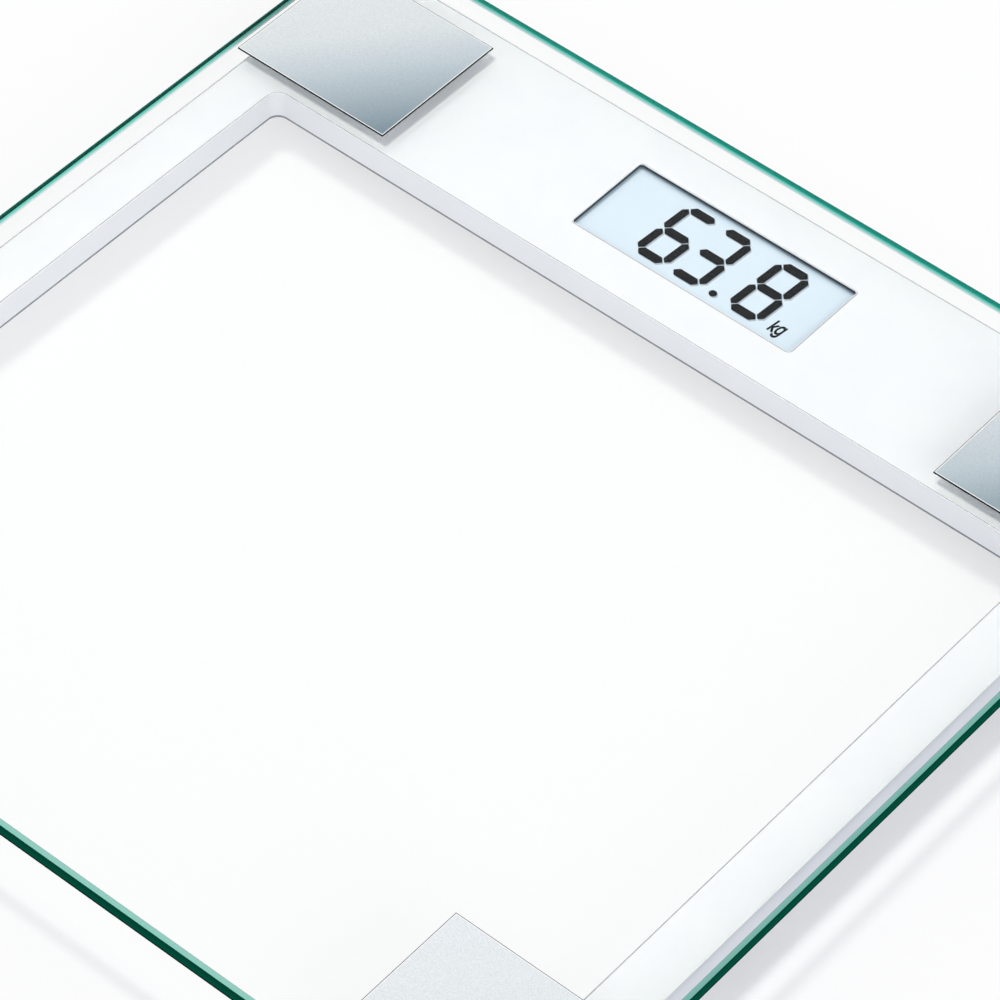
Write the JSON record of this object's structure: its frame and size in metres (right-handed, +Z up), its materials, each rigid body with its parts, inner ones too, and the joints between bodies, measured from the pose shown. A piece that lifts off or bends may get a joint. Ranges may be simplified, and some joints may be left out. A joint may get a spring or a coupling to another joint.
{
  "type": "glass personal scale",
  "caption": "Square clear glass body-weight scale with steel standing plates, a white U-shaped frame with a lit digital display, and weighing feet under the corners.",
  "frame": {"origin": "on the floor under the middle of the glass platform", "axes": "+Z up; +Y towards the edge with the display; +X in the display's reading direction"},
  "size_m": [0.3, 0.3, 0.0235],
  "materials": {
    "clear_glass": "polished",
    "satin_steel": "satin",
    "adhesive": "matte",
    "white_foam": "matte",
    "white_plastic": "fine satin",
    "foot_plastic": "satin",
    "foot_rubber": "matte",
    "zinc_steel": "plated",
    "cell_steel": "stamped",
    "carrier_plastic": "matte",
    "copper_film": "plated",
    "display_glass": "polished",
    "display_ink": "matte",
    "clear_plastic": "polished",
    "led_plastic": "polished",
    "board_green": "lacquered",
    "black_plastic": "matte",
    "component_body": "matte",
    "grey_plastic": "matte",
    "coin_steel": "satin",
    "wire_black": "matte",
    "wire_red": "matte"
  },
  "bodies": {
    "frame": {"glass_platform": "clear_glass", "plate_films": "adhesive", "bond_pads": "white_foam", "frame_shell": "white_plastic", "back_cover": "white_plastic", "left_cover": "white_plastic", "right_cover": "white_plastic", "cover_screws": "zinc_steel", "strain_gauges": "copper_film", "lcd_panel": "display_glass", "lcd_segments": "display_ink", "light_guide": "clear_plastic", "backlight_leds": "led_plastic", "lcd_holder": "carrier_plastic", "holder_screws": "zinc_steel", "lcd_flex": "copper_film", "main_board": "board_green", "controller_chip": "black_plastic", "board_parts": "component_body", "board_screws": "zinc_steel", "unit_switch": "zinc_steel", "coin_cell": "coin_steel", "contact_positive": "copper_film", "contact_negative": "copper_film", "battery_lead": "wire_black", "steel_plate_back_left": "satin_steel", "load_cell_back_left": "cell_steel", "cell_carrier_back_left": "carrier_plastic", "cell_lead_back_left": "wire_red", "steel_plate_back_right": "satin_steel", "load_cell_back_right": "cell_steel", "cell_carrier_back_right": "carrier_plastic", "cell_lead_back_right": "wire_red", "steel_plate_front_left": "satin_steel", "load_cell_front_left": "cell_steel", "cell_carrier_front_left": "carrier_plastic", "cell_lead_front_left": "wire_red", "steel_plate_front_right": "satin_steel", "load_cell_front_right": "cell_steel", "cell_carrier_front_right": "carrier_plastic", "cell_lead_front_right": "wire_red"},
    "unit_button": {"unit_button": "grey_plastic", "switch_plunger": "black_plastic"},
    "battery_door": {"battery_door": "white_plastic"},
    "foot_back_left": {"foot_back_left": "foot_plastic", "foot_pad_back_left": "foot_rubber"},
    "foot_back_right": {"foot_back_right": "foot_plastic", "foot_pad_back_right": "foot_rubber"},
    "foot_front_left": {"foot_front_left": "foot_plastic", "foot_pad_front_left": "foot_rubber"},
    "foot_front_right": {"foot_front_right": "foot_plastic", "foot_pad_front_right": "foot_rubber"}
  },
  "joints": [
    {"name": "foot_back_left_press", "type": "slide", "parent": "frame", "child": "foot_back_left", "axis": [0, 0, 1], "range_m": [0, 0.0005], "stiffness_N_per_m": 30000, "deforming": ["load_cell_back_left"]},
    {"name": "foot_back_right_press", "type": "slide", "parent": "frame", "child": "foot_back_right", "axis": [0, 0, 1], "range_m": [0, 0.0005], "stiffness_N_per_m": 30000, "deforming": ["load_cell_back_right"]},
    {"name": "foot_front_left_press", "type": "slide", "parent": "frame", "child": "foot_front_left", "axis": [0, 0, 1], "range_m": [0, 0.0005], "stiffness_N_per_m": 30000, "deforming": ["load_cell_front_left"]},
    {"name": "foot_front_right_press", "type": "slide", "parent": "frame", "child": "foot_front_right", "axis": [0, 0, 1], "range_m": [0, 0.0005], "stiffness_N_per_m": 30000, "deforming": ["load_cell_front_right"]},
    {"name": "unit_button_press", "type": "slide", "parent": "frame", "child": "unit_button", "axis": [0, 0, 1], "range_m": [0, 0.0005], "stiffness_N_per_m": 2000},
    {"name": "battery_door_hinge", "type": "hinge", "parent": "frame", "child": "battery_door", "pos_m": [0.0688, 0.1276, 0.0086], "axis": [1, 0, 0], "range_deg": [0, 85]}
  ]
}
